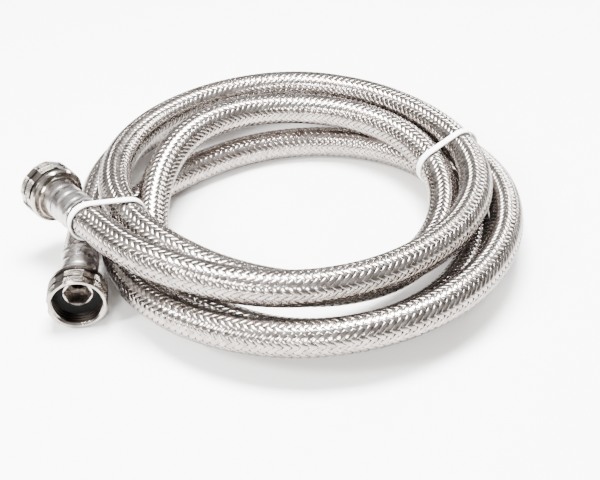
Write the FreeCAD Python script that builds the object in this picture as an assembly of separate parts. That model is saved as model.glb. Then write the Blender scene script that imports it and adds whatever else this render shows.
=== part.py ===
import FreeCAD, Part
import math
import os

# A braided supply line: one hose with a swivel coupling at each end, coiled in four loose turns
# and held by two cable ties. Millimetres, +Z up, the coil lies on z = 0 round the Z axis.

Vector = FreeCAD.Vector

# Hose
HOSE_R = 9.5                # outside of the braid
BRAID = 1.0                 # thickness of the braid
LINER_R = HOSE_R - BRAID    # outside of the inner tube
LINER_BORE_R = 6.35         # half inch bore
ARC_SHARE = 0.45            # share of the shorter run that each bend's tangent takes

# The coil's middle, off the origin so that the whole part is centred on it
COIL_MIDDLE = Vector(7.95, -4.8, 0)

# Coil: radius and height of the hose's axis at eight stations of each turn, anticlockwise from above.
# The first station is at the left, so the third is at the front, the fifth at the right and
# the seventh at the back. Turns one to four follow each other from the upper end to the lower end.
STATION_ANGLE = 45
FIRST_ANGLE = 180
POINTS_PER_STATION = 2
EDGES_PER_SPAN = 4
TURN_ONE = [
    (132, 38), (112.5, 40), (108, 38.5), (101, 34.5),
    (107.5, 34), (115, 33.5), (125, 33), (117, 30.5),
]
TURN_TWO = [
    (102, 32.3), (92, 33.8), (90, 25.5), (88, 18),
    (90, 23.2), (94, 30), (91, 33), (85, 34.5),
]
TURN_THREE = [
    (79.4, 22.4), (90.5, 10), (109.5, 9.5), (112, 9.5),
    (107, 11.6), (101, 11), (88, 9.5), (81.5, 9.5),
]
TURN_FOUR = [
    (97.3, 9.5), (111, 15), (126.5, 22), (127, 23),
    (124.5, 22), (130, 12.5), (136, 11.5), (134, 12.5),
]
LAST_TWO = [(116.5, 9.5), (110, 9.5)]
STATIONS = TURN_ONE + TURN_TWO + TURN_THREE + TURN_FOUR + LAST_TWO

# Hose ends, by hand, from the coil's middle: the cut end inside the ferrule and the first point outside it
UPPER_END = [Vector(-122.3, -27.4, 37.4), Vector(-100.4, -53.5, 37.4)]
LOWER_END = [Vector(-115.6, -35.0, 15.6), Vector(-111.2, -67.5, 15.6)]

# Coupling, along its own axis from the mouth (0) back towards the hose
NUT_LENGTH = 16.5
CREST_R = 15.6              # over the knurl
GROOVE_R = 14.7            # bottom of the grooves and of the six flat notches
RIM_R = 14.6                # edge of the mouth's face
SHOULDER_R = 15.4           # smooth band at the back
BACK_EDGE_R = 14.6
HUB_R = 12.6
THREAD_R = 12.6             # thread crests of the three quarter inch hose thread
THREAD_DEPTH = 9.2
MOUTH_CHAMFER = 0.8
SEAT_R = 13.9               # relief behind the thread
BACK_WALL = 2.5
FLAT_COUNT = 6
FLAT_WIDTH = 5.6
FLATS_END = 11.4
FIRST_FLAT = {"upper": 37, "lower": 8}
NECK_R = 9.0
RUNNING = 0.05              # radial clearance of the swivel
FLOAT = 0.8                 # how far the nut slides along the nipple
FLANGE_R = 12.2
FLANGE = 1.2
WASHER_R = 13.2
WASHER_BORE_R = 7.9
WASHER = 2.5
SPIGOT_R = 7.7              # front of the nipple, inside the washer
SPIGOT_SET_BACK = 0.3
HEX_FLATS = 12.6
HEX_DEPTH = 10.0
NIPPLE_BORE_R = 4.6
BARB_R = 6.3
BARB_ROOT_R = 5.85
BARBS = 5
BARB_PITCH = 3.2

# Ferrule
FERRULE_R = 10.4
FERRULE_CAP = 6.0
FERRULE_GRIP = 18.0
CRIMP_R = 10.0
CRIMPS = 3
CRIMP_PITCH = 7.6
CRIMP_FLOOR = 1.0
CRIMP_SLOPE = 1.8
FIRST_CRIMP = 6.3           # from the ferrule's front
NUT_GAP = 0.1               # between a nut that is fully back and its ferrule

# Cable ties
STRAP = 1.0
STRAP_WIDTH = 4.0
STRAP_GAP = 0.85
LEFT_OUT_GAP = 1.0          # between the strap and a strand that it leaves out
HEAD = (6.0, 3.0, 4.6)      # along the loop, outwards, along the hose
# Each tie stands in an upright plane through a point from the coil's middle, facing along the hose.
# Places in that plane are (across, height). The strap goes anticlockwise round its strands, and bends
# inwards past a strand it leaves out. The head has its foot on the strap's inner surface.
LEFT_TIE = {
    "point": Vector(-97, -40, 0),
    "facing": Vector(0.472, -0.881, 0),
    "strands": [(-11.5, 37.4), (10.1, 33.5)],
    "left_out": None,
    "head_foot": (-2.54, 25.27),
    "head_way": (-0.178, -0.984),
}
RIGHT_TIE = {
    "point": Vector(92, 34.5, 0),
    "facing": Vector(-0.477, 0.879, 0),
    "strands": [(-4.6, 11.5), (8.0, 26.2), (-10.7, 33.7)],
    "left_out": (-26.6, 17.3),
    "head_foot": (-13.08, 5.56),
    "head_way": (-0.819, -0.574),
}

# Depths below the mouth that follow from the sizes above
BACK_FACE = NUT_LENGTH - BACK_WALL
FLANGE_BACK = BACK_FACE - FLOAT - RUNNING
FLANGE_FRONT = FLANGE_BACK - FLANGE
WASHER_BACK = FLANGE_FRONT - RUNNING
WASHER_FRONT = WASHER_BACK - WASHER
SPIGOT_FRONT = WASHER_FRONT + SPIGOT_SET_BACK
FERRULE_FRONT = NUT_LENGTH + NUT_GAP
HOSE_FACE = FERRULE_FRONT + FERRULE_CAP
FERRULE_BACK = HOSE_FACE + FERRULE_GRIP


def eased(values, share):
    """The value a share of the way from the second to the third of four stations."""
    before, start, end, after = values
    slope = (end - before) * share
    curve = (2 * before - 5 * start + 4 * end - after) * share ** 2
    twist = (3 * start - 3 * end + after - before) * share ** 3
    return 0.5 * (2 * start + slope + curve + twist)


def coil_points():
    points = []
    steps = (len(STATIONS) - 3) * POINTS_PER_STATION
    for step in range(steps + 1):
        place = 1 + step / POINTS_PER_STATION
        station = min(int(place), len(STATIONS) - 3)
        near = STATIONS[station - 1:station + 3]
        radius = eased([r for r, z in near], place - station)
        height = eased([z for r, z in near], place - station)
        angle = math.radians(FIRST_ANGLE + STATION_ANGLE * place)
        points.append(Vector(radius * math.cos(angle), radius * math.sin(angle), max(height, HOSE_R)))
    return points


def hose_route():
    return [COIL_MIDDLE + point for point in UPPER_END + coil_points() + LOWER_END]


def bend(before, corner, after):
    """The arc that rounds a corner, as start, middle and end, with its radius."""
    back = before - corner
    ahead = after - corner
    reach = ARC_SHARE * min(back.Length, ahead.Length)
    half_turn = (math.pi - back.getAngle(ahead)) / 2
    radius = reach / math.tan(half_turn)
    back.normalize()
    ahead.normalize()
    inward = back + ahead
    inward.normalize()
    middle = corner + inward * (radius / math.cos(half_turn) - radius)
    return corner + back * reach, middle, corner + ahead * reach, radius


def hose_edges(route):
    """Straight runs joined by tangent arcs, in order, and the arcs' radii."""
    edges = []
    radii = []
    at = route[0]
    for before, corner, after in zip(route, route[1:], route[2:]):
        start, middle, end, radius = bend(before, corner, after)
        edges.append(Part.LineSegment(at, start).toShape())
        edges.append(Part.Arc(start, middle, end).toShape())
        radii.append(radius)
        at = end
    edges.append(Part.LineSegment(at, route[-1]).toShape())
    return edges, radii


def swept(edges, radius):
    """A closed solid along edges that start with a straight run."""
    start = edges[0].valueAt(edges[0].FirstParameter)
    ring = Part.Wire(Part.makeCircle(radius, start, edges[0].tangentAt(edges[0].FirstParameter)))
    return Part.Wire(edges).makePipeShell([ring], True, False)


def tube(edges, outer, inner):
    return swept(edges, outer).cut(swept(edges, inner))


def tube_in_spans(edges, outer, inner):
    """The same tube as short solids end to end, so that each one's hull follows the coil."""
    spans = [edges[k:k + EDGES_PER_SPAN] for k in range(0, len(edges), EDGES_PER_SPAN)]
    return Part.Compound([tube(span, outer, inner) for span in spans])


def turned(profile):
    """A solid turned about Z from (radius, depth) corners, with depth below the mouth."""
    corners = [Vector(radius, 0, -depth) for radius, depth in profile]
    face = Part.Face(Part.makePolygon(corners + corners[:1]))
    return face.revolve(Vector(0, 0, 0), Vector(0, 0, 1), 360)


def nut(first_flat):
    body = turned([
        (THREAD_R + MOUTH_CHAMFER, 0),
        (RIM_R, 0),
        (CREST_R, 0.8),
        (CREST_R, 4.2),
        (GROOVE_R, 4.4),
        (GROOVE_R, 5.7),
        (CREST_R, 5.9),
        (CREST_R, 9.9),
        (GROOVE_R, 10.1),
        (GROOVE_R, FLATS_END),
        (SHOULDER_R, 11.6),
        (SHOULDER_R, 13.6),
        (BACK_EDGE_R, 14.8),
        (HUB_R, 14.8),
        (HUB_R, NUT_LENGTH - 0.5),
        (HUB_R - 0.5, NUT_LENGTH),
        (NECK_R + RUNNING, NUT_LENGTH),
        (NECK_R + RUNNING, BACK_FACE),
        (SEAT_R, BACK_FACE),
        (SEAT_R, THREAD_DEPTH),
        (THREAD_R, THREAD_DEPTH),
        (THREAD_R, MOUTH_CHAMFER),
    ])
    block = Part.makeBox(CREST_R, FLAT_WIDTH, FLATS_END, Vector(GROOVE_R, -FLAT_WIDTH / 2, -FLATS_END))
    for flat in range(FLAT_COUNT):
        cutter = block.copy()
        cutter.rotate(Vector(0, 0, 0), Vector(0, 0, 1), first_flat + 360 / FLAT_COUNT * flat)
        body = body.cut(cutter)
    return body


def washer():
    return turned([
        (WASHER_BORE_R, WASHER_FRONT),
        (WASHER_R, WASHER_FRONT),
        (WASHER_R, WASHER_BACK),
        (WASHER_BORE_R, WASHER_BACK),
    ])


def nipple():
    tail_end = HOSE_FACE + BARBS * BARB_PITCH
    profile = [
        (NIPPLE_BORE_R, SPIGOT_FRONT),
        (SPIGOT_R, SPIGOT_FRONT),
        (SPIGOT_R, FLANGE_FRONT),
        (FLANGE_R, FLANGE_FRONT),
        (FLANGE_R, FLANGE_BACK),
        (NECK_R, FLANGE_BACK),
        (NECK_R, HOSE_FACE),
        (BARB_ROOT_R, HOSE_FACE),
    ]
    for barb in range(BARBS):
        profile.append((BARB_ROOT_R, HOSE_FACE + BARB_PITCH * barb + 0.3))
        profile.append((BARB_R, HOSE_FACE + BARB_PITCH * barb + 1.0))
    profile += [(BARB_ROOT_R, tail_end), (NIPPLE_BORE_R, tail_end)]
    corner_r = HEX_FLATS / math.sqrt(3)
    corners = [Vector(corner_r * math.cos(math.radians(60 * k)), corner_r * math.sin(math.radians(60 * k)),
                      -SPIGOT_FRONT) for k in range(7)]
    hexagon = Part.Face(Part.makePolygon(corners)).extrude(Vector(0, 0, -HEX_DEPTH))
    return turned(profile).cut(hexagon)


def ferrule():
    grip_r = HOSE_R + RUNNING
    outer = [
        (NECK_R + 0.6, FERRULE_FRONT),
        (FERRULE_R - 0.5, FERRULE_FRONT),
        (FERRULE_R, FERRULE_FRONT + 0.5),
    ]
    for crimp in range(CRIMPS):
        middle = FERRULE_FRONT + FIRST_CRIMP + CRIMP_PITCH * crimp
        floor = CRIMP_FLOOR / 2
        outer += [(FERRULE_R, middle - floor - CRIMP_SLOPE), (CRIMP_R, middle - floor)]
        outer += [(CRIMP_R, middle + floor), (FERRULE_R, middle + floor + CRIMP_SLOPE)]
    inner = [
        (FERRULE_R, FERRULE_BACK - 0.4),
        (FERRULE_R - 0.4, FERRULE_BACK),
        (grip_r, FERRULE_BACK),
        (grip_r, HOSE_FACE),
        (NECK_R + RUNNING, HOSE_FACE),
        (NECK_R + RUNNING, FERRULE_FRONT + 0.6),
    ]
    return turned(outer + inner)


def belt(discs):
    """The face inside a taut loop in the XY plane round discs, listed anticlockwise.

    A disc with a negative radius is passed on its other side.
    """
    edges = []
    count = len(discs)
    outs = []
    for k in range(count):
        centre, radius = discs[k]
        next_centre, next_radius = discs[(k + 1) % count]
        run = next_centre - centre
        lean = (radius - next_radius) / run.Length
        run.normalize()
        outs.append(run * lean + Vector(run.y, -run.x, 0) * math.sqrt(1 - lean ** 2))
    for k in range(count):
        centre, radius = discs[k]
        arrive = outs[k - 1]
        leave = outs[k]
        turn = Vector(leave.y - arrive.y, arrive.x - leave.x, 0).normalize()
        start = centre + leave * radius
        end = discs[(k + 1) % count][0] + leave * discs[(k + 1) % count][1]
        edges.append(Part.Arc(centre + arrive * radius, centre + turn * abs(radius), start).toShape())
        edges.append(Part.LineSegment(start, end).toShape())
    return Part.Face(Part.Wire(edges))


def cable_tie(point, facing, strands, left_out, head_foot, head_way):
    """One moulding: a strap round the strands, and its head on the outside of it."""
    inner_r = HOSE_R + STRAP_GAP
    inner = [(Vector(*strand, 0), inner_r) for strand in strands]
    outer = [(Vector(*strand, 0), inner_r + STRAP) for strand in strands]
    if left_out:
        pushed_r = HOSE_R + LEFT_OUT_GAP
        inner.append((Vector(*left_out, 0), -pushed_r - STRAP))
        outer.append((Vector(*left_out, 0), -pushed_r))
    strap = belt(outer).cut(belt(inner)).extrude(Vector(0, 0, STRAP_WIDTH))
    strap.translate(Vector(0, 0, -STRAP_WIDTH / 2))
    out = Vector(*head_way, 0)
    run = Vector(-out.y, out.x, 0)
    length, stand, width = HEAD
    head = Part.makeBox(length, width, stand, Vector(-length / 2, -width / 2, 0))
    head.Placement = FreeCAD.Placement(Vector(*head_foot, 0),
                                       FreeCAD.Rotation(run, Vector(0, 0, 0), out, "XZY"))
    tie = strap.fuse(head).removeSplitter()
    upright = Vector(0, 0, 1)
    place = COIL_MIDDLE + point
    tie.Placement = FreeCAD.Placement(place, FreeCAD.Rotation(upright.cross(facing), upright, facing, "XYZ"))
    return tie


def on_axis(shape, end, inward):
    """Moves a piece made about Z to the hose end, with its mouth facing away from the hose."""
    outward = inward * -1
    mouth = end + outward * HOSE_FACE
    turn = FreeCAD.Rotation(Vector(0, 0, 1), outward)
    shape.Placement = FreeCAD.Placement(mouth, turn)
    return shape


def save(shape, name):
    shape.exportStep("parts/" + name + ".step")
    box = shape.optimalBoundingBox()
    print(name, "solids", len(shape.Solids), "valid", shape.isValid(), "volume", round(shape.Volume, 1),
          "box", [round(v, 1) for v in (box.XMin, box.YMin, box.ZMin, box.XMax, box.YMax, box.ZMax)])


os.makedirs("parts", exist_ok=True)

route = hose_route()
line, bend_radii = hose_edges(route)
hose_length = sum(edge.Length for edge in line)
first_way = (route[1] - route[0]).normalize()
last_way = (route[-2] - route[-1]).normalize()
print("hose length", round(hose_length, 1), "bend radii", [round(r) for r in bend_radii])

jacket = tube_in_spans(line, HOSE_R, LINER_R)
liner = tube(line, LINER_R, LINER_BORE_R)
print("jacket volume over section times length",
      round(jacket.Volume / (math.pi * (HOSE_R ** 2 - LINER_R ** 2) * hose_length), 4))
save(jacket, "braided_jacket")
save(liner, "inner_tube")

for end_name, end, inward in (("upper", route[0], first_way), ("lower", route[-1], last_way)):
    pieces = {
        "nut": nut(FIRST_FLAT[end_name]),
        "washer": washer(),
        "nipple": nipple(),
        "ferrule": ferrule(),
    }
    for piece_name, piece in pieces.items():
        save(on_axis(piece, end, inward), end_name + "_" + piece_name)
    print(end_name, "mouth", end - inward * HOSE_FACE, "axis", inward * -1)

save(cable_tie(**LEFT_TIE), "left_tie")
save(cable_tie(**RIGHT_TIE), "right_tie")
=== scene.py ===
import bpy
import math
import numpy as np
from mathutils import Matrix, Vector


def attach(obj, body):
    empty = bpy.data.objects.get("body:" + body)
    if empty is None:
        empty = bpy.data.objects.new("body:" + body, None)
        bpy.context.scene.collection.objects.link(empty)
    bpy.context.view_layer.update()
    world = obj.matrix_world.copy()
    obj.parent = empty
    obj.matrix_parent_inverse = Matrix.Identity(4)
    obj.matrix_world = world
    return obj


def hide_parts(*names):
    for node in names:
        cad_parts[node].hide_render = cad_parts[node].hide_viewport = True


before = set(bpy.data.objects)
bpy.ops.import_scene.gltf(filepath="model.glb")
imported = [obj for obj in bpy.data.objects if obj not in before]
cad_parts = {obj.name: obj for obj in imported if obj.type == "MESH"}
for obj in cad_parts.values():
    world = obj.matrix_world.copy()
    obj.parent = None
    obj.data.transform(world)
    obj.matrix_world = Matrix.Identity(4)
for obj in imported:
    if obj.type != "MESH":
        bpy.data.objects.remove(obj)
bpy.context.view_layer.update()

# A braided supply line: one hose with a swivel coupling at each end, coiled in four loose turns and
# held by two cable ties. +Z up. The route, the couplings and the ties are in millimetres and are
# scaled where their points are made. A size multiplied by MM is in metres already.
MM = 0.001

# ---------------------------------------------------------------- camera
CAMERA_PLACE = (0.01335, -0.5199, 0.3539)
CAMERA_DOWN = 35            # degrees below level
CAMERA_LENS = 63.9
CAMERA_SENSOR = 36
CAMERA_NEAR = 0.01
CAMERA_FAR = 20


def add_camera():
    data = bpy.data.cameras.new("camera")
    data.lens = CAMERA_LENS
    data.sensor_width = CAMERA_SENSOR
    data.clip_start = CAMERA_NEAR
    data.clip_end = CAMERA_FAR
    camera = bpy.data.objects.new("camera", data)
    bpy.context.scene.collection.objects.link(camera)
    camera.location = CAMERA_PLACE
    camera.rotation_euler = (math.radians(90 - CAMERA_DOWN), 0, 0)
    bpy.context.scene.camera = camera


add_camera()

# ---------------------------------------------------------------- hose line
HOSE_R = 9.5 * MM           # over the braid
LINER_R = 8.4 * MM
COIL_MIDDLE = Vector((7.95, -4.8, 0))

# Radius and height of the hose's line at eight stations of each turn, anticlockwise from above.
# The first station is at the left. The turns follow each other from the upper to the lower end.
STATION_ANGLE = 45
FIRST_ANGLE = 180
POINTS_PER_STATION = 2
TURN_ONE = [
    (132, 38), (112.5, 40), (108, 38.5), (101, 34.5),
    (107.5, 34), (115, 33.5), (125, 33), (117, 30.5),
]
TURN_TWO = [
    (102, 32.3), (92, 33.8), (90, 25.5), (88, 18),
    (90, 23.2), (94, 30), (91, 33), (85, 34.5),
]
TURN_THREE = [
    (79.4, 22.4), (90.5, 10), (109.5, 9.5), (112, 9.5),
    (107, 11.6), (101, 11), (88, 9.5), (81.5, 9.5),
]
TURN_FOUR = [
    (97.3, 9.5), (111, 15), (126.5, 22), (127, 23),
    (124.5, 22), (130, 12.5), (136, 11.5), (134, 12.5),
]
LAST_TWO = [(116.5, 9.5), (110, 9.5)]
STATIONS = TURN_ONE + TURN_TWO + TURN_THREE + TURN_FOUR + LAST_TWO

# The hose's cut end inside a ferrule and the first point outside it, from the coil's middle
UPPER_END = [Vector((-122.3, -27.4, 37.4)), Vector((-100.4, -53.5, 37.4))]
LOWER_END = [Vector((-115.6, -35.0, 15.6)), Vector((-111.2, -67.5, 15.6))]

CURVE_STEPS = 24            # between two points of the route
LINE_STEP = 1.0 * MM


def eased(values, share):
    """The value a share of the way from the second to the third of four stations."""
    before, start, end, after = values
    slope = (end - before) * share
    curve = (2 * before - 5 * start + 4 * end - after) * share ** 2
    twist = (3 * start - 3 * end + after - before) * share ** 3
    return 0.5 * (2 * start + slope + curve + twist)


def coil_points():
    points = []
    spans = len(STATIONS) - 3
    for step in range(spans * POINTS_PER_STATION + 1):
        place = 1 + step / POINTS_PER_STATION
        station = min(int(place), spans)
        near = STATIONS[station - 1:station + 3]
        radius = eased([r for r, z in near], place - station)
        height = max(eased([z for r, z in near], place - station), HOSE_R / MM)
        angle = math.radians(FIRST_ANGLE + STATION_ANGLE * place)
        points.append(Vector((radius * math.cos(angle), radius * math.sin(angle), height)))
    return points


def hose_curve():
    route = UPPER_END + coil_points() + LOWER_END
    data = bpy.data.curves.new("hose_line", "CURVE")
    data.dimensions = "3D"
    data.resolution_u = CURVE_STEPS
    spline = data.splines.new("NURBS")
    spline.points.add(len(route) - 1)
    for point, place in zip(spline.points, route):
        point.co = ((COIL_MIDDLE + place) * MM).to_4d()
    spline.order_u = 3
    spline.use_endpoint_u = True
    return bpy.data.objects.new("hose_line", data)


def link(obj):
    bpy.context.scene.collection.objects.link(obj)
    return obj


class Line:
    """The hose's centreline as evenly spaced points with a frame that doesn't twist."""

    def __init__(self, curve, step):
        link(curve)
        settled = curve.evaluated_get(bpy.context.evaluated_depsgraph_get())
        mesh = bpy.data.meshes.new_from_object(settled)
        read = np.array([v.co for v in mesh.vertices])
        bpy.data.objects.remove(curve)
        gaps = np.linalg.norm(np.diff(read, axis=0), axis=1)
        along = np.concatenate([[0], np.cumsum(gaps)])
        length = along[-1]
        self.s = np.linspace(0, length, int(length / step) + 1)
        self.at = np.stack([np.interp(self.s, along, read[:, k]) for k in range(3)], 1)
        ways = np.gradient(self.at, axis=0)
        ways = ways / np.linalg.norm(ways, axis=1)[:, None]
        side = np.cross(ways[0], (0, 0, 1))
        sides = []
        for way in ways:
            side = side - way * side.dot(way)
            side = side / np.linalg.norm(side)
            sides.append(side)
        self.side = np.array(sides)
        self.up = np.cross(self.side, ways)

    def surface(self, index, turn, radius):
        """Points at a distance from the line. The three arrays have one shape; turn is in radians."""
        cos, sin = np.cos(turn)[..., None], np.sin(turn)[..., None]
        return self.at[index] + radius[..., None] * (cos * self.side[index] + sin * self.up[index])


def grid_mesh(name, points, wrap_rows=False, wrap_columns=False):
    """A smooth mesh from blocks of rows and columns of points: an array (blocks, rows, columns, 3)."""
    blocks, rows, columns, _ = points.shape
    number = np.arange(blocks * rows * columns).reshape(blocks, rows, columns)
    if wrap_rows:
        number = np.concatenate([number, number[:, :1]], 1)
    if wrap_columns:
        number = np.concatenate([number, number[:, :, :1]], 2)
    corners = (number[:, :-1, :-1], number[:, :-1, 1:], number[:, 1:, 1:], number[:, 1:, :-1])
    faces = np.stack(corners, -1).reshape(-1, 4)
    mesh = bpy.data.meshes.new(name)
    mesh.vertices.add(blocks * rows * columns)
    mesh.vertices.foreach_set("co", points.reshape(-1))
    mesh.loops.add(faces.size)
    mesh.loops.foreach_set("vertex_index", faces.reshape(-1))
    mesh.polygons.add(len(faces))
    mesh.polygons.foreach_set("loop_start", np.arange(0, faces.size, 4))
    mesh.polygons.foreach_set("use_smooth", np.ones(len(faces), bool))
    mesh.update(calc_edges=True)
    return link(bpy.data.objects.new(name, mesh))


# ---------------------------------------------------------------- materials
TONE_DARK = 0.3             # noise value at and below which a surface has its dark tone
TONE_LIGHT = 0.7            # noise value at and above which it has its light tone
METAL_DETAIL = 4.0
FINE_GRAIN = 9              # how much finer a metal's bump is than its tone
FINE_DETAIL = 3.0
BUMP_HEIGHT = 0.05 * MM


def material(name):
    made = bpy.data.materials.new(name)
    made.use_nodes = True
    nodes = made.node_tree.nodes
    return made, nodes, made.node_tree.links, nodes["Principled BSDF"]


def node(nodes, kind, **inputs):
    made = nodes.new(kind)
    for key, value in inputs.items():
        made.inputs[key].default_value = value
    return made


def ramp(nodes, links, source, stops):
    """Colours by value. A new ramp has two stops already, and the others are added."""
    made = nodes.new("ShaderNodeValToRGB")
    elements = made.color_ramp.elements
    for k, (place, color) in enumerate(stops):
        element = elements[k] if k < 2 else elements.new(place)
        element.position = place
        element.color = (*color, 1)
    links.new(source, made.inputs["Fac"])
    return made.outputs["Color"]


def metal(name, dark, light, rough_low, rough_high, grain, bump):
    """Plated or bare steel: uneven tone and polish, with a fine bump."""
    made, nodes, links, shader = material(name)
    place = nodes.new("ShaderNodeTexCoord").outputs["Object"]
    cloud = node(nodes, "ShaderNodeTexNoise", Scale=grain, Detail=METAL_DETAIL)
    links.new(place, cloud.inputs["Vector"])
    tone = ramp(nodes, links, cloud.outputs["Fac"], [(TONE_DARK, dark), (TONE_LIGHT, light)])
    links.new(tone, shader.inputs["Base Color"])
    rough = nodes.new("ShaderNodeMapRange")
    rough.inputs["To Min"].default_value = rough_low
    rough.inputs["To Max"].default_value = rough_high
    links.new(cloud.outputs["Fac"], rough.inputs["Value"])
    links.new(rough.outputs["Result"], shader.inputs["Roughness"])
    shader.inputs["Metallic"].default_value = 1.0
    fine = node(nodes, "ShaderNodeTexNoise", Scale=grain * FINE_GRAIN, Detail=FINE_DETAIL)
    links.new(place, fine.inputs["Vector"])
    raised = node(nodes, "ShaderNodeBump", Strength=bump, Distance=BUMP_HEIGHT)
    links.new(fine.outputs["Fac"], raised.inputs["Height"])
    links.new(raised.outputs["Normal"], shader.inputs["Normal"])
    return made


def matt(name, dark, light, grain, roughness, specular=0.5, detail=2.0):
    """Rubber, plastic or paper: a faint mottling of one colour."""
    made, nodes, links, shader = material(name)
    cloud = node(nodes, "ShaderNodeTexNoise", Scale=grain, Detail=detail)
    tone = ramp(nodes, links, cloud.outputs["Fac"], [(TONE_DARK, dark), (TONE_LIGHT, light)])
    links.new(tone, shader.inputs["Base Color"])
    shader.inputs["Roughness"].default_value = roughness
    shader.inputs["Specular IOR Level"].default_value = specular
    return made


BRAID_STEEL = metal("braid_steel", (0.20, 0.172, 0.155), (0.37, 0.34, 0.32), 0.16, 0.28, 260, 0.4)

# ---------------------------------------------------------------- braid
CARRIERS = 16               # strands in each direction
LEAD = 62 * MM              # length of one strand's full turn
STRAND_WIDTH = 2.38 * MM
MIDDLE_R = 9.0 * MM         # between the strands that cross
LIFT = 0.29 * MM            # from there to a strand that passes over or under
PASS_SHARPNESS = 2.2        # how quickly a strand goes from over to under
CROSSING_START = 0.5        # puts that change halfway between two crossings
WIRES = 4                   # in each strand
WIRE_RISE = 0.10 * MM
EDGE_DROP = 0.15 * MM

line = Line(hose_curve(), LINE_STEP)


def braid_points():
    """Every strand's surface: over two and under two of the strands that wind the other way."""
    lean = math.atan(2 * math.pi * MIDDLE_R / LEAD)
    half_width = STRAND_WIDTH / 2 / math.cos(lean) / MIDDLE_R
    across = np.linspace(-1, 1, 2 * WIRES + 1)
    wires = np.where(np.arange(2 * WIRES + 1) % 2 == 1, WIRE_RISE, 0) - EDGE_DROP * across ** 4
    index = np.arange(len(line.s))
    crossing = line.s * 2 * CARRIERS / LEAD
    strands = []
    for hand in (1, -1):
        for carrier in range(CARRIERS):
            wave = hand * np.cos(math.pi / 2 * (2 * carrier + hand * crossing - CROSSING_START))
            lift = LIFT * np.tanh(PASS_SHARPNESS * wave) / math.tanh(PASS_SHARPNESS)
            turn = 2 * math.pi * (carrier / CARRIERS + hand * line.s / LEAD)
            turns = turn[:, None] + hand * half_width * across[None]
            radius = MIDDLE_R + lift[:, None] + wires[None]
            rows = np.repeat(index[:, None], len(across), 1)
            strands.append(line.surface(rows, turns, radius))
    return np.array(strands)


braid = grid_mesh("woven_braid", braid_points())
braid.data.materials.append(BRAID_STEEL)

# ---------------------------------------------------------------- inner tube
LINER_COLUMNS = 40
LINER_STRIDE = 2            # line steps from ring to ring


def tube_points(radius, columns, stride):
    turn = np.linspace(0, 2 * math.pi, columns, endpoint=False)
    index = np.arange(0, len(line.s), stride)
    rows = np.repeat(index[:, None], columns, 1)
    turns = np.repeat(turn[None], len(index), 0)
    return line.surface(rows, turns, np.full(turns.shape, radius))[None]


liner = grid_mesh("liner", tube_points(LINER_R, LINER_COLUMNS, LINER_STRIDE), wrap_columns=True)
LINER_RUBBER = matt("liner_rubber", (0.012, 0.012, 0.013), (0.03, 0.03, 0.032), 300.0, 0.6)
liner.data.materials.append(LINER_RUBBER)

# ---------------------------------------------------------------- couplings
# Millimetres. Depths are measured along the coupling from its mouth back towards the hose.
NUT_LENGTH = 16.5
CREST_R = 15.6              # over the knurl
GROOVE_R = 14.7             # bottom of the grooves and of the flat notches
RIM_R = 14.6                # edge of the mouth's face
SHOULDER_R = 15.4           # smooth band at the back
BACK_EDGE_R = 14.6
HUB_R = 12.6
HUB_EDGE = 0.5
FRONT_BAND = (0.8, 4.2)     # depths at which each band of the outside starts and ends
FRONT_GROOVE = (4.4, 5.7)
REAR_BAND = (5.9, 9.9)
REAR_GROOVE = (10.1, 11.4)
SHOULDER = (11.6, 13.6)
HUB_FRONT = 14.8
OUTSIDE_R = 14.2            # every face beyond this radius is on the outside
OUTSIDE_CUT_END = 11.5      # depth at which the knurl and the notches end
SAME = 0.01                 # radii closer than this are the same face
THREAD_R = 12.6             # thread crests
THREAD_DEPTH = 9.2
THREAD_PITCH = 2.21
THREAD_RISE = 1.0
THREAD_CREST_SHARE = 0.2    # of the pitch, on each side of a crest's middle
THREAD_FADE = 0.4           # over which the first and last turns run out
MOUTH_CHAMFER = 0.8
SEAT_R = 13.9               # relief behind the thread
BACK_FACE = 14.0
FLAT_COUNT = 6
FLAT_WIDTH = 5.6
NECK_R = 9.0
RUNNING = 0.05              # radial clearance of the swivel
KNURL_TEETH = 64
KNURL_PITCH = 1.6
KNURL_DEPTH = 0.45
KNURL_FLANK = 1.7           # steepness of a tooth's sides, which leaves its top flat
FLANGE_BACK = 13.15
FLANGE_FRONT = 11.95
FLANGE_R = 12.2
FLANGE_EDGE = 0.2
WASHER_BACK = 11.9
WASHER_FRONT = 9.4
WASHER_R = 13.2
WASHER_BORE_R = 7.9
WASHER_EDGE = 0.25
SPIGOT_R = 7.7              # front of the nipple, inside the washer
SPIGOT_FRONT = 9.7
SPIGOT_EDGE = 0.1
HEX_FLATS = 12.6
HEX_DEPTH = 10.0
NIPPLE_BORE_R = 4.6
STEM_R = 5.85               # the nipple inside the hose
STEM_LENGTH = 15
STEM_TAPER = 1
FERRULE_R = 10.4
FERRULE_SKIN = 0.1          # how far below that radius a point is still on the outside
FERRULE_FRONT_EDGE = 0.5
FERRULE_NECK_EDGE = 0.6
FERRULE_BACK_EDGE = 0.4
CRIMP_R = 10.0
CRIMPS = 3
CRIMP_PITCH = 7.6
CRIMP_REACH = 2.3           # half the width of a crimp
FIRST_CRIMP = 6.3           # from the ferrule's front
CRIMP_LOBES = 8
CRIMP_LOBE_RISE = 0.15      # share of the crimp's depth left between its jaws
FERRULE_FRONT = 16.6
HOSE_FACE = 22.6            # the hose's cut end
FERRULE_BACK = 40.6
HOSE_GRIP_R = HOSE_R / MM + RUNNING

# Fineness of the meshes
CORNER = 0.05               # how far from a corner its rounding starts
NUT_STEP = 0.16             # from row to row along a profile
NUT_COLUMNS = 640
WASHER_STEP = 0.5
WASHER_COLUMNS = 96
NIPPLE_STEP = 0.5
NIPPLE_COLUMNS = 192
FERRULE_STEP = 0.4
FERRULE_COLUMNS = 192


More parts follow.
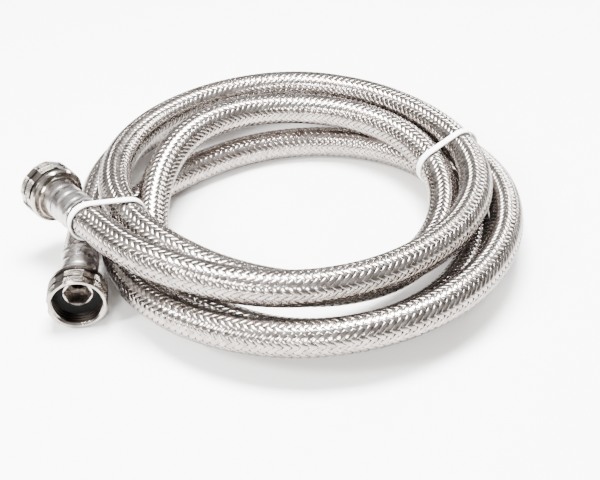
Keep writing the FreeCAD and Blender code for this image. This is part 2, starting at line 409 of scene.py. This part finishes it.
def dense(profile, step):
    """The closed profile's points, with extra ones beside each corner and along each long side."""
    points = []
    for (r0, d0), (r1, d1) in zip(profile, profile[1:] + profile[:1]):
        length = math.hypot(r1 - r0, d1 - d0)
        near = min(CORNER, length / 4) / length
        count = max(1, round(length / step))
        shares = [0, near] + [near + (1 - 2 * near) * k / count for k in range(1, count + 1)]
        points += [(r0 + (r1 - r0) * share, d0 + (d1 - d0) * share) for share in shares]
    return np.array(points)


def turned_grid(profile, step, columns, shape=None):
    """Points turned about Z, with depth below the mouth. shape changes the radius by turn and depth."""
    points = dense(profile, step)
    turn = np.linspace(0, 2 * math.pi, columns, endpoint=False)[None]
    radius = np.repeat(points[:, :1], columns, 1)
    depth = np.repeat(points[:, 1:], columns, 1)
    if shape:
        radius = shape(radius, depth, turn)
    return np.stack([radius * np.cos(turn), radius * np.sin(turn), -depth], -1)[None] * MM


def triangle(value):
    """A wave with straight sides: 1 at each whole number and 0 halfway between."""
    return np.abs(2 * (value - np.floor(value)) - 1)


def sector_offset(turn, count, first=0):
    """The angle from the nearest of a number of directions spaced evenly round a circle."""
    sector = 2 * math.pi / count
    return (turn - first + sector / 2) % sector - sector / 2


def nut_shape(first_flat):
    """Cuts the knurl, the flat notches and the thread into the nut's round faces."""
    def shape(radius, depth, turn):
        outside = (radius > OUTSIDE_R) & (depth < OUTSIDE_CUT_END)
        crest = outside & (radius > CREST_R - SAME)
        around = KNURL_TEETH * turn / (2 * math.pi)
        along = depth / KNURL_PITCH
        ridges = np.minimum(triangle(around + along), triangle(around - along))
        diamond = np.clip(KNURL_FLANK * ridges, 0, 1)
        radius = np.where(crest, radius - KNURL_DEPTH * (1 - diamond), radius)
        off = sector_offset(turn, FLAT_COUNT, first_flat)
        flat = GROOVE_R / np.cos(off)
        notch = outside & (np.abs(off) < math.atan(FLAT_WIDTH / 2 / GROOVE_R))
        radius = np.where(notch, np.minimum(radius, flat), radius)
        thread = (np.abs(radius - THREAD_R) < SAME) & (depth > MOUTH_CHAMFER) & (depth < THREAD_DEPTH)
        fade = np.clip(np.minimum(depth - MOUTH_CHAMFER, THREAD_DEPTH - depth) / THREAD_FADE, 0, 1)
        wave = triangle(depth / THREAD_PITCH - turn / (2 * math.pi))
        groove = np.clip((wave - THREAD_CREST_SHARE) / (1 - 2 * THREAD_CREST_SHARE), 0, 1)
        return np.where(thread, radius + THREAD_RISE * groove * fade, radius)
    return shape


NUT_PROFILE = [
    (THREAD_R + MOUTH_CHAMFER, 0),
    (RIM_R, 0),
    (CREST_R, FRONT_BAND[0]),
    (CREST_R, FRONT_BAND[1]),
    (GROOVE_R, FRONT_GROOVE[0]),
    (GROOVE_R, FRONT_GROOVE[1]),
    (CREST_R, REAR_BAND[0]),
    (CREST_R, REAR_BAND[1]),
    (GROOVE_R, REAR_GROOVE[0]),
    (GROOVE_R, REAR_GROOVE[1]),
    (SHOULDER_R, SHOULDER[0]),
    (SHOULDER_R, SHOULDER[1]),
    (BACK_EDGE_R, HUB_FRONT),
    (HUB_R, HUB_FRONT),
    (HUB_R, NUT_LENGTH - HUB_EDGE),
    (HUB_R - HUB_EDGE, NUT_LENGTH),
    (NECK_R + RUNNING, NUT_LENGTH),
    (NECK_R + RUNNING, BACK_FACE),
    (SEAT_R, BACK_FACE),
    (SEAT_R, THREAD_DEPTH),
    (THREAD_R, THREAD_DEPTH),
    (THREAD_R, MOUTH_CHAMFER),
]

WASHER_PROFILE = [
    (WASHER_BORE_R + WASHER_EDGE, WASHER_FRONT),
    (WASHER_R - WASHER_EDGE, WASHER_FRONT),
    (WASHER_R, WASHER_FRONT + WASHER_EDGE),
    (WASHER_R, WASHER_BACK - WASHER_EDGE),
    (WASHER_R - WASHER_EDGE, WASHER_BACK),
    (WASHER_BORE_R + WASHER_EDGE, WASHER_BACK),
    (WASHER_BORE_R, WASHER_BACK - WASHER_EDGE),
    (WASHER_BORE_R, WASHER_FRONT + WASHER_EDGE),
]

NIPPLE_PROFILE = [
    (NIPPLE_BORE_R, SPIGOT_FRONT + SPIGOT_EDGE),
    (NIPPLE_BORE_R + SPIGOT_EDGE, SPIGOT_FRONT),
    (SPIGOT_R - SPIGOT_EDGE, SPIGOT_FRONT),
    (SPIGOT_R, SPIGOT_FRONT + SPIGOT_EDGE),
    (SPIGOT_R, FLANGE_FRONT),
    (FLANGE_R - FLANGE_EDGE, FLANGE_FRONT),
    (FLANGE_R, FLANGE_FRONT + FLANGE_EDGE),
    (FLANGE_R, FLANGE_BACK),
    (NECK_R, FLANGE_BACK),
    (NECK_R, HOSE_FACE),
    (STEM_R, HOSE_FACE),
    (STEM_R, HOSE_FACE + STEM_LENGTH),
    (NIPPLE_BORE_R, HOSE_FACE + STEM_LENGTH + STEM_TAPER),
]

FERRULE_PROFILE = [
    (NECK_R + FERRULE_NECK_EDGE, FERRULE_FRONT),
    (FERRULE_R - FERRULE_FRONT_EDGE, FERRULE_FRONT),
    (FERRULE_R, FERRULE_FRONT + FERRULE_FRONT_EDGE),
    (FERRULE_R, FERRULE_BACK - FERRULE_BACK_EDGE),
    (FERRULE_R - FERRULE_BACK_EDGE, FERRULE_BACK),
    (HOSE_GRIP_R, FERRULE_BACK),
    (HOSE_GRIP_R, HOSE_FACE),
    (NECK_R + RUNNING, HOSE_FACE),
    (NECK_R + RUNNING, FERRULE_FRONT + FERRULE_NECK_EDGE),
]


def nipple_shape(radius, depth, turn):
    """Opens the round bore into a hexagon from the front down to the hexagon's depth."""
    half_side = math.pi / 6
    off = sector_offset(turn, 6)
    hexagon = HEX_FLATS / 2 / np.cos(off - np.where(off > 0, half_side, -half_side))
    lead = np.clip(SPIGOT_FRONT + SPIGOT_EDGE - depth, 0, SPIGOT_EDGE)
    cut = depth < SPIGOT_FRONT + HEX_DEPTH
    return np.where(cut, np.maximum(radius, hexagon + lead), radius)


def ferrule_shape(radius, depth, turn):
    """Smooth crimps round the sleeve, with shallow lobes left between the jaws."""
    outside = radius > FERRULE_R - FERRULE_SKIN
    low = np.zeros_like(depth)
    for crimp in range(CRIMPS):
        off = np.abs(depth - FERRULE_FRONT - FIRST_CRIMP - CRIMP_PITCH * crimp) / CRIMP_REACH
        low = np.maximum(low, np.cos(np.clip(off, 0, 1) * math.pi / 2) ** 2)
    lobe = 1 - CRIMP_LOBE_RISE * np.cos(CRIMP_LOBES / 2 * turn) ** 2
    return np.where(outside, radius - (FERRULE_R - CRIMP_R) * low * lobe, radius)


def stand(points, end, inward):
    """Moves points made about Z to the hose end, with the mouth facing away from the hose."""
    mouth = end - inward * (HOSE_FACE * MM)
    turn = Vector((0, 0, 1)).rotation_difference(-inward).to_matrix()
    return points @ np.array(turn).T + np.array(mouth)


NUT_STEEL = metal("nickel_plate", (0.17, 0.15, 0.13), (0.36, 0.33, 0.30), 0.10, 0.20, 120, 0.15)
NIPPLE_STEEL = metal("bright_nickel", (0.38, 0.34, 0.31), (0.56, 0.51, 0.475), 0.20, 0.32, 160, 0.1)
FERRULE_STEEL = metal("crimped_steel", (0.28, 0.26, 0.25), (0.54, 0.515, 0.505), 0.20, 0.36, 90, 0.3)
# Near-black steel: painted shade for the nut's thread, grooves and knurl valleys, not a real finish
PAINTED_SHADE_STEEL = metal("painted_shade_steel", (0.005, 0.004, 0.0035), (0.016, 0.013, 0.011), 0.30, 0.45, 120, 0.15)
SEAT_RUBBER = matt("seat_rubber", (0.004, 0.004, 0.004), (0.010, 0.010, 0.010), 900.0, 0.7, 0.06)

# Which faces of a nut get painted shade: a near-black steel laid in its recesses
SHADED_INSIDE = (2.2, 14.1)   # depths between which its inside is
SHADED_INSIDE_R = 14.0
SHADED_MARGIN = 0.05          # how far a groove's painted shade goes up the slopes beside it
SHADED_KNURL = (0.9, 10.5)    # depths between which the knurl's valleys are
SHADED_KNURL_FLOOR = 0.4      # from the bottom of the notches up to the valleys
SHADED_KNURL_SHARE = 0.55     # share of the knurl's depth below which they are


def between(values, limits):
    return (values > limits[0]) & (values < limits[1])


def paint_recess_shade(mesh, mouth, inward):
    """Paints shade into the deep thread, the grooves and the valleys of the knurl with a near-black
    steel.
    """
    mesh.materials.append(PAINTED_SHADE_STEEL)
    centres = np.array([face.center for face in mesh.polygons]) - np.array(mouth)
    depth = centres @ np.array(inward) / MM
    radius = np.linalg.norm(centres - depth[:, None] * MM * np.array(inward), axis=1) / MM
    inside = (radius < SHADED_INSIDE_R) & between(depth, SHADED_INSIDE)
    front_groove = between(depth, (FRONT_BAND[1] + SHADED_MARGIN, REAR_BAND[0] - SHADED_MARGIN))
    rear_groove = between(depth, (REAR_BAND[1] + SHADED_MARGIN, SHOULDER[0]))
    groove = (front_groove | rear_groove) & (radius > OUTSIDE_R)
    low_tooth = between(radius, (GROOVE_R + SHADED_KNURL_FLOOR, CREST_R - SHADED_KNURL_SHARE * KNURL_DEPTH))
    valley = low_tooth & between(depth, SHADED_KNURL)
    mesh.polygons.foreach_set("material_index", (inside | groove | valley).astype(np.int32))


# The hose's cut end, a point further along it, and the direction of the nut's first flat
ENDS = {
    "upper": (UPPER_END[0], UPPER_END[1], math.radians(37)),
    "lower": (LOWER_END[1], LOWER_END[0], math.radians(8)),
}
for end_name, (first, second, first_flat) in ENDS.items():
    inward = (second - first).normalized()
    place = (COIL_MIDDLE + first) * MM
    nut = turned_grid(NUT_PROFILE, NUT_STEP, NUT_COLUMNS, nut_shape(first_flat))
    washer = turned_grid(WASHER_PROFILE, WASHER_STEP, WASHER_COLUMNS)
    nipple = turned_grid(NIPPLE_PROFILE, NIPPLE_STEP, NIPPLE_COLUMNS, nipple_shape)
    ferrule = turned_grid(FERRULE_PROFILE, FERRULE_STEP, FERRULE_COLUMNS, ferrule_shape)
    made = {
        "nut": (nut, NUT_STEEL, "plated_nut", "coupling"),
        "washer": (washer, SEAT_RUBBER, "seat_rubber", "seat"),
        "nipple": (nipple, NIPPLE_STEEL, "bright_nipple", "hose"),
        "ferrule": (ferrule, FERRULE_STEEL, "crimped_steel", "hose"),
    }
    for piece, (points, finish, slot, body) in made.items():
        name = end_name + "_" + piece
        points = stand(points, place, inward)
        obj = grid_mesh(name + "_detail", points, wrap_rows=True, wrap_columns=True)
        obj.data.materials.append(finish)
        if piece == "nut":
            # The nut's recesses get painted shade
            paint_recess_shade(obj.data, place - inward * HOSE_FACE * MM, inward)
        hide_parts(name)
        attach(obj, body if body == "hose" else end_name + "_" + body)

# ---------------------------------------------------------------- cable ties
STRAP = 1.0
STRAP_WIDTH = 4.0
STRAP_EDGE = 0.25           # rounding of the strap's edges
STRAP_INNER_EDGE = 0.2
RAIL_TOP = 0.7              # from the strap's edge to the top of the rail along it
RAIL_FOOT = 0.9             # and to the rail's foot
RAIL_HEIGHT = 0.12
STRAP_R = 10.1              # from the middle of a strand to the strap's inner surface
LEFT_OUT_R = 10.75          # from the middle of a strand that a tie leaves out to the strap
ARC_STEPS = 24              # round each strand
RUN_SHARES = (0.2, 0.4, 0.6, 0.8)
HEAD = (6.0, 4.6, 3.2)      # along the loop, along the hose, outwards
HEAD_SINK = 0.25            # how far its foot lies inside the strap
HEAD_EDGE = 0.6 * MM
HEAD_EDGE_STEPS = 3

# Each tie stands in an upright plane through a point from the coil's middle, facing along the hose.
# Places in that plane are (across, height). The strap goes anticlockwise round its strands, and bends
# inwards past a strand it leaves out. The head has its foot on the strap's inner surface.
TIES = {
    "left_tie": {
        "point": (-97, -40, 0),
        "facing": (0.472, -0.881, 0),
        "strands": [(-11.5, 37.4), (10.1, 33.5)],
        "left_out": None,
        "head_foot": (-2.54, 25.27),
        "head_way": (-0.178, -0.984),
    },
    "right_tie": {
        "point": (92, 34.5, 0),
        "facing": (-0.477, 0.879, 0),
        "strands": [(-4.6, 11.5), (8.0, 26.2), (-10.7, 33.7)],
        "left_out": (-26.6, 17.3),
        "head_foot": (-13.08, 5.56),
        "head_way": (-0.819, -0.574),
    },
}


def belt(discs):
    """Points of a taut loop round discs, listed anticlockwise, with the outward way at each.

    A disc with a negative radius is passed on its other side.
    """
    following = discs[1:] + discs[:1]
    outs = []
    for (centre, radius), (next_centre, next_radius) in zip(discs, following):
        run = next_centre - centre
        lean = (radius - next_radius) / run.length
        run.normalize()
        outs.append(run * lean + Vector((run.y, -run.x)) * math.sqrt(1 - lean ** 2))
    points = []
    for k, ((centre, radius), (next_centre, next_radius)) in enumerate(zip(discs, following)):
        arrive, leave = (math.atan2(out.y, out.x) for out in (outs[k - 1], outs[k]))
        sweep = (leave - arrive) % (2 * math.pi) if radius > 0 else -((arrive - leave) % (2 * math.pi))
        for step in range(ARC_STEPS + 1):
            angle = arrive + sweep * step / ARC_STEPS
            out = Vector((math.cos(angle), math.sin(angle)))
            points.append((centre + out * radius, out))
        start, end = centre + outs[k] * radius, next_centre + outs[k] * next_radius
        points += [(start.lerp(end, share), outs[k]) for share in RUN_SHARES]
    return points


def strap_section():
    """The strap's cross-section as (outwards, along the hose), with rounded edges and thin rails."""
    half = STRAP_WIDTH / 2
    return [
        (STRAP_INNER_EDGE, -half),
        (0, -half + STRAP_EDGE),
        (0, 0),
        (0, half - STRAP_EDGE),
        (STRAP_INNER_EDGE, half),
        (STRAP - STRAP_EDGE, half),
        (STRAP, half - STRAP_EDGE),
        (STRAP, half - RAIL_TOP),
        (STRAP - RAIL_HEIGHT, half - RAIL_FOOT),
        (STRAP - RAIL_HEIGHT, RAIL_FOOT - half),
        (STRAP, RAIL_TOP - half),
        (STRAP, STRAP_EDGE - half),
        (STRAP - STRAP_EDGE, -half),
    ]


def cable_tie(name, point, facing, strands, left_out, head_foot, head_way):
    discs = [(Vector(strand), STRAP_R) for strand in strands]
    if left_out:
        discs.append((Vector(left_out), -LEFT_OUT_R - STRAP))
    facing = Vector(facing).normalized()
    upright = Vector((0, 0, 1))
    across = upright.cross(facing)
    base = COIL_MIDDLE + Vector(point)
    rows = []
    for place, out in belt(discs):
        row = []
        for stand_off, along in strap_section():
            flat = place + out * stand_off
            row.append((base + across * flat.x + upright * flat.y + facing * along) * MM)
        rows.append(row)
    strap = grid_mesh(name + "_strap", np.array(rows)[None], wrap_rows=True, wrap_columns=True)
    out = Vector(head_way)
    run = Vector((-out.y, out.x))
    middle = Vector(head_foot) + out * (HEAD[2] / 2 - HEAD_SINK)
    bpy.ops.mesh.primitive_cube_add(size=1)
    head = bpy.context.object
    turn = Matrix((
        across * run.x + upright * run.y,
        facing,
        across * out.x + upright * out.y,
    )).transposed()
    head.data.transform(Matrix.Diagonal((*(Vector(HEAD) * MM), 1)))
    head.data.transform(turn.to_4x4())
    head.data.transform(Matrix.Translation((base + across * middle.x + upright * middle.y) * MM))
    soft = head.modifiers.new("edges", "BEVEL")
    soft.width = HEAD_EDGE
    soft.segments = HEAD_EDGE_STEPS
    head.name = name + "_head"
    return strap, head


NYLON = matt("white_nylon", (0.88, 0.88, 0.87), (0.95, 0.95, 0.94), 400.0, 0.38, 0.4, detail=3.0)

for name, shape in TIES.items():
    for obj in cable_tie(name, **shape):
        obj.data.materials.append(NYLON)
        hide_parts(name)
        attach(obj, "hose")

# ---------------------------------------------------------------- room
# Metres and watts: each light's place, what it aims at, its size and its power
LIGHTS = {
    "top": ((0.0, 0.15, 1.1), (0, 0, 0), (0.55, 0.42), 105),
    "key": ((-0.75, -0.5, 0.75), (0, 0, 0), (0.22, 0.3), 26),
    "front": ((-0.25, -1.1, 0.6), (-0.05, -0.05, 0), (0.3, 0.3), 24),
    "rim": ((0.7, 0.9, 0.5), (0, 0, 0), (0.5, 0.18), 18),
}
FLOOR_SIZE = 40
FLOOR_DROP = 0.2 * MM       # below the coil, so that they don't share a plane
# The sky's colour by height, from 0 level to 1 overhead
SKY = [
    (0.0, (0.78, 0.775, 0.77)),
    (0.16, (0.74, 0.735, 0.73)),
    (0.28, (0.11, 0.09, 0.08)),
    (0.45, (0.60, 0.58, 0.56)),
    (0.75, (1.0, 1.0, 1.0)),
]
SKY_STRENGTH = 1.1


def add_light(name, place, aim, size, power):
    data = bpy.data.lights.new(name, "AREA")
    data.shape = "RECTANGLE"
    data.size, data.size_y = size
    data.energy = power
    lamp = link(bpy.data.objects.new(name, data))
    lamp.location = place
    lamp.rotation_euler = (Vector(aim) - Vector(place)).to_track_quat("-Z", "Y").to_euler()


def add_floor():
    bpy.ops.mesh.primitive_plane_add(size=FLOOR_SIZE, location=(0, 0, -FLOOR_DROP))
    made = bpy.context.object
    made.name = "floor"
    made.data.materials.append(matt("paper", (0.95, 0.94, 0.925), (0.965, 0.955, 0.94), 60.0, 0.6))
    return made


def add_world():
    """Pale at the horizon, dark above it and bright overhead, so that metal has both to reflect."""
    world = bpy.data.worlds.new("studio")
    world.use_nodes = True
    nodes, links = world.node_tree.nodes, world.node_tree.links
    place = nodes.new("ShaderNodeTexCoord").outputs["Generated"]
    split = nodes.new("ShaderNodeSeparateXYZ")
    links.new(place, split.inputs["Vector"])
    links.new(ramp(nodes, links, split.outputs["Z"], SKY), nodes["Background"].inputs["Color"])
    nodes["Background"].inputs["Strength"].default_value = SKY_STRENGTH
    bpy.context.scene.world = world


add_world()
for name, (place, aim, size, power) in LIGHTS.items():
    add_light(name, place, aim, size, power)
floor = add_floor()

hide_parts("braided_jacket")
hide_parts("inner_tube")
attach(braid, "hose")
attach(liner, "hose")
